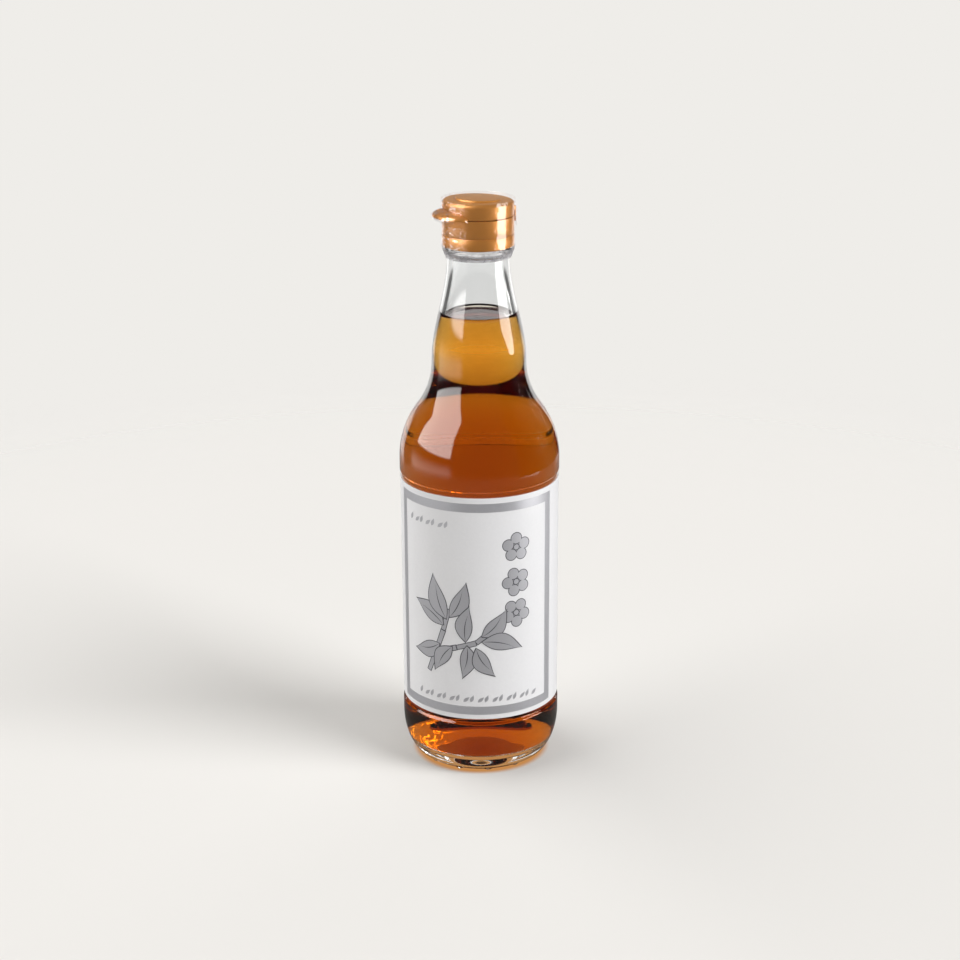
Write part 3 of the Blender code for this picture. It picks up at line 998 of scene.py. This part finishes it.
def make_floor():
    """A pale floor that fades into the surroundings.

    It carries a painted tan glow under the foot, and round it where it is seen through the glass: painted
    light for the light that the sauce tints. It is painted darker, as painted shade, where the bottle
    mirrors it.
    """
    made, tree = new_material("painted_board_matt")
    place = add_node(tree, "ShaderNodeTexCoord").outputs["Object"]
    reach = add_node(tree, "ShaderNodeVectorMath", {0: place}, operation="LENGTH").outputs["Value"]
    ray = add_node(tree, "ShaderNodeLightPath")
    refracted = ray.outputs["Is Transmission Ray"]
    paint = add_node(tree, "ShaderNodeBsdfDiffuse", {"Color": rgba(FLOOR_COLOUR)})
    fill = add_node(tree, "ShaderNodeEmission", {"Color": rgba(PALE), "Strength": FLOOR_FILL})
    board = add_node(tree, "ShaderNodeAddShader", {0: paint.outputs["BSDF"], 1: fill.outputs["Emission"]})
    under, near, fade = (
        add_node(
            tree,
            "ShaderNodeMapRange",
            {"Value": reach, "From Min": start * MM, "From Max": end * MM},
            interpolation_type="SMOOTHSTEP",
        ).outputs["Result"]
        for start, end in ((POOL_END, POOL_TO), (SEEN_PAINTED_POOL_END, SEEN_PAINTED_POOL_TO), (FADE_FROM, FADE_TO))
    )
    seen = add_node(tree, "ShaderNodeMath", {0: near, 1: refracted}, operation="MULTIPLY").outputs["Value"]
    painted_pool_share = add_node(tree, "ShaderNodeMath", {0: under, 1: seen}, operation="MAXIMUM").outputs["Value"]
    # Painted light: a tan glow under the foot and, for rays through the glass, round it
    pool = add_node(tree, "ShaderNodeEmission", {"Color": PAINTED_POOL_GLOW, "Strength": 1.0})
    # Painted shade: rays mirrored off the bottle see the floor darkened towards black
    mirrored = add_node(
        tree,
        "ShaderNodeMath",
        {0: ray.outputs["Is Glossy Ray"], 1: refracted},
        operation="SUBTRACT",
        use_clamp=True,
    ).outputs["Value"]
    painted_mirror_shade = add_node(tree, "ShaderNodeMath", {0: mirrored, 1: FLOOR_PAINTED_MIRROR_SHADE}, operation="MULTIPLY")
    black = add_node(tree, "ShaderNodeBsdfDiffuse", {"Color": (0.0, 0.0, 0.0, 1.0)})
    clear = add_node(tree, "ShaderNodeBsdfTransparent")
    surface = board.outputs["Shader"]
    for share, over in (
        (painted_pool_share, pool.outputs["Emission"]),
        (painted_mirror_shade.outputs["Value"], black.outputs["BSDF"]),
        (fade, clear.outputs["BSDF"]),
    ):
        surface = add_node(tree, "ShaderNodeMixShader", {0: share, 1: surface, 2: over}).outputs["Shader"]
    add_node(tree, "ShaderNodeOutputMaterial", {"Surface": surface})
    deselect()
    bpy.ops.mesh.primitive_circle_add(
        vertices=96,
        radius=FLOOR_R * MM,
        fill_type="NGON",
        location=(0, 0, -0.1 * MM),
    )
    floor = finish_piece("studio_floor", made)


def make_flag():
    """A black card beside the right shoulder, which keeps the right strip's reflection off it."""
    made, tree = new_material("black_flock_card")
    card = add_node(tree, "ShaderNodeBsdfDiffuse", {"Color": rgba("#050505")})
    add_node(tree, "ShaderNodeOutputMaterial", {"Surface": card.outputs["BSDF"]})
    rows = [(FLAG_R, FLAG_TOP), (FLAG_R, FLAG_BOTTOM)]
    flag = lathe("studio_flag", rows, made, steps=24, span=FLAG_RIGHT - FLAG_LEFT, start=FLAG_RIGHT - 90)
    for vertex in flag.data.vertices:
        if vertex.co.z > FLAG_BOTTOM * MM + 0.001:
            off = FLAG_LEAN_FROM - math.degrees(math.atan2(vertex.co.x, -vertex.co.y))
            vertex.co.z += FLAG_LEAN * MM * max(0.0, off)
    flag.visible_camera = False
    flag.visible_diffuse = False
    flag.visible_transmission = False
    flag.visible_shadow = False


def make_ring():
    """A low ring round the foot with a painted tan glow, seen only through the glass, which warms the clear
    foot.
    """
    made, tree = new_material("ring_painted_tan_glow")
    glow = add_node(tree, "ShaderNodeEmission", {"Color": RING_PAINTED_GLOW, "Strength": 1.0})
    add_node(tree, "ShaderNodeOutputMaterial", {"Surface": glow.outputs["Emission"]})
    ring = lathe("studio_ring", [(RING_R, RING_TOP), (RING_R, 0.1)], made, steps=48)
    ring.visible_camera = False
    ring.visible_diffuse = False
    ring.visible_glossy = False
    ring.visible_shadow = False


def band(tree, value, low, high, soft):
    """A socket that is 1 where a value lies between two limits, easing to 0 outside them."""
    rise, fall = (
        add_node(
            tree,
            "ShaderNodeMapRange",
            {"Value": value, "From Min": start, "From Max": end},
            interpolation_type="SMOOTHSTEP",
        ).outputs["Result"]
        for start, end in ((low - soft, low + soft), (high + soft, high - soft))
    )
    return add_node(tree, "ShaderNodeMath", {0: rise, 1: fall}, operation="MULTIPLY").outputs["Value"]


# Soft boxes and cards of the studio: azimuth limits from the camera's side (right is positive),
# elevation limits, edge softness and brightness. All angles are in degrees. What is seen reflected,
# what is seen through the glass and what lights the matt surfaces are set apart. The glints are a
# broken patch that stands for bright caustics seen through the sauce.
REFLECTED = (
    ("right strip", 62, 96, -20, 16, 1.5, 9.0),
    ("left card", -112, -42, -60, -6, 6.0, 1.5),
    ("left high box", -105, -42, 5.5, 70, 1.5, 7.0),
    ("edge card left", -159, -139, -90, 2, 2.0, 1.5),
    ("edge card right", 139, 159, -90, 2, 2.0, 1.5),
    ("backdrop left", -192, -159, -90, 2, 2.0, 0.8),
    ("backdrop right", 159, 192, -90, 2, 2.0, 0.8),
    ("upper backdrop left", -192, -139, 2, 50, 2.0, 0.28),
    ("upper backdrop right", 139, 192, 2, 50, 2.0, 0.28),
    ("overhead", -192, 192, 62, 92, 12.0, 0.2),
)
BEHIND_GLASS = (
    ("far floor left", -192, -116, -90, -15, 1.5, 1.3),
    ("far floor right", 116, 192, -90, -15, 1.5, 1.3),
    ("low backdrop left", -192, -116, -15, -9, 1.5, 0.72),
    ("low backdrop right", 116, 192, -15, -9, 1.5, 0.72),
    ("backdrop left", -192, -147, -9, 5, 1.5, 0.72),
    ("backdrop right", 147, 192, -9, 5, 1.5, 0.72),
    ("upper backdrop left", -192, -125, 5, 50, 2.0, 1.1),
    ("upper backdrop right", 125, 192, 5, 50, 2.0, 1.1),
    ("sides left", -119, -60, -90, 50, 3.0, 0.55),
    ("sides right", 60, 119, -90, 50, 3.0, 0.55),
    ("front", -60, 60, -90, 50, 6.0, 0.3),
)
GLINTS = (("glints", 100, 172, -4, 36, 3, 8.0),)
ON_MATT = (
    ("left box", -150, -51, 2, 62, 8.0, 2.25),
    ("backdrop left", -192, -145, -2, 50, 4.0, 0.6),
    ("backdrop right", 139, 192, -2, 50, 4.0, 0.8),
    ("floor beyond", -192, 192, -92, -2, 2.0, 0.72),
)
REFLECTED_BASE = 0.05
BEHIND_BASE = 0.10
MATT_BASE = 0.06
KEY_AZIMUTH = 64
KEY_ELEVATION = 34
KEY_WIDTH = 36
KEY_POWER = 3.15


def patches(tree, azimuth, elevation, base, rows):
    """A socket with the brightness of one set of patches over a base level."""
    total = base
    for _, left, right, low, high, soft, strength in rows:
        across = band(tree, azimuth, left, right, soft)
        up = band(tree, elevation, low, high, soft)
        both = add_node(tree, "ShaderNodeMath", {0: across, 1: up}, operation="MULTIPLY").outputs["Value"]
        terms = {0: both, 1: strength, 2: total}
        total = add_node(tree, "ShaderNodeMath", terms, operation="MULTIPLY_ADD").outputs["Value"]
    return total


def make_studio():
    """Soft light: a pale surround with soft boxes, and one wide key light from the right."""
    world = bpy.data.worlds.new("studio")
    world.use_nodes = True
    world.cycles.sampling_method = "NONE"
    bpy.context.scene.world = world
    tree = world.node_tree
    tree.nodes.clear()
    way = add_node(tree, "ShaderNodeTexCoord").outputs["Generated"]
    part = add_node(tree, "ShaderNodeSeparateXYZ", {"Vector": way})
    front = add_node(tree, "ShaderNodeMath", {0: part.outputs["Y"], 1: -1.0}, operation="MULTIPLY")
    sides = {0: part.outputs["X"], 1: front.outputs["Value"]}
    around = add_node(tree, "ShaderNodeMath", sides, operation="ARCTAN2")
    lift = add_node(tree, "ShaderNodeMath", {0: part.outputs["Z"]}, operation="ARCSINE")
    azimuth, elevation = (
        add_node(tree, "ShaderNodeMath", {0: turn.outputs["Value"]}, operation="DEGREES").outputs["Value"]
        for turn in (around, lift)
    )
    ray = add_node(tree, "ShaderNodeLightPath")
    reflected = patches(tree, azimuth, elevation, REFLECTED_BASE, REFLECTED)
    behind = patches(tree, azimuth, elevation, BEHIND_BASE, BEHIND_GLASS)
    ripple = add_node(
        tree,
        "ShaderNodeTexNoise",
        {"Vector": way, "Scale": 9.0, "Detail": 3.0, "Distortion": 1.5},
    )
    bright = add_node(
        tree,
        "ShaderNodeMapRange",
        {"Value": ripple.outputs["Fac"], "From Min": 0.54, "From Max": 0.66},
    ).outputs["Result"]
    glints = patches(tree, azimuth, elevation, 0.0, GLINTS)
    terms = {0: bright, 1: glints, 2: behind}
    behind = add_node(tree, "ShaderNodeMath", terms, operation="MULTIPLY_ADD").outputs["Value"]
    on_matt = patches(tree, azimuth, elevation, MATT_BASE, ON_MATT)
    strength = reflected
    for kind, level in (("Is Transmission Ray", behind), ("Is Diffuse Ray", on_matt)):
        choice = {"Factor": ray.outputs[kind], 2: strength, 3: level}
        strength = add_node(tree, "ShaderNodeMix", choice, data_type="FLOAT").outputs[0]
    lights = add_node(tree, "ShaderNodeBackground", {"Color": rgba("#FFFEFC"), "Strength": strength})
    plain = add_node(tree, "ShaderNodeBackground", {"Color": rgba(PALE), "Strength": 1.0})
    both = add_node(
        tree,
        "ShaderNodeMixShader",
        {0: ray.outputs["Is Camera Ray"], 1: lights.outputs["Background"], 2: plain.outputs["Background"]},
    )
    add_node(tree, "ShaderNodeOutputWorld", {"Surface": both.outputs["Shader"]})
    deselect()
    bpy.ops.object.light_add(type="SUN")
    key = bpy.context.object
    key.name = "key_light"
    key.data.energy = KEY_POWER
    key.data.angle = math.radians(KEY_WIDTH)
    key.rotation_euler = (math.radians(90 - KEY_ELEVATION), 0, math.radians(KEY_AZIMUTH))
    key.visible_glossy = False
    key.visible_transmission = False


def make_camera():
    """The photograph's camera: higher than the cap, looking down at the bottle."""
    radius = BODY_R * MM
    deselect()
    place = (CAMERA_SIDE * radius, -CAMERA_BACK * radius, CAMERA_UP * radius)
    bpy.ops.object.camera_add(location=place)
    camera = bpy.context.object
    camera.data.sensor_width = SENSOR_MM
    camera.data.lens = CAMERA_FOCAL / PHOTO_WIDTH * SENSOR_MM
    camera.data.clip_start = 0.01
    turn = Matrix.Rotation(math.pi / 2 - CAMERA_PITCH, 4, "X") @ Matrix.Rotation(CAMERA_ROLL, 4, "Z")
    camera.rotation_euler = turn.to_euler()
    bpy.context.scene.camera = camera


def set_render():
    """Plain view transform, enough bounces for glass and sauce, and a denoised picture."""
    scene = bpy.context.scene
    scene.view_settings.view_transform = "Standard"
    scene.cycles.max_bounces = 24
    scene.cycles.transmission_bounces = 24
    scene.cycles.glossy_bounces = 8
    scene.cycles.diffuse_bounces = 4
    scene.cycles.transparent_max_bounces = 24
    scene.cycles.sample_clamp_indirect = 12.0
    scene.cycles.use_denoising = True


def main():
    make_camera()
    set_render()
    make_studio()
    make_floor()
    make_flag()
    make_ring()
    gold = gold_plastic()
    make_glass(flint_glass("flint_glass_mould_blown", 1.0), flint_glass("flint_glass_wetted_by_sauce", 0.0))
    make_sauce(amber_sauce())
    make_label(satin_paper(), glued_paper_painted_glow())
    make_print(silver_ink(), dark_ink())
    make_cap_base(gold)
    make_cap_lid(gold)
    make_film(shrink_film())


main()
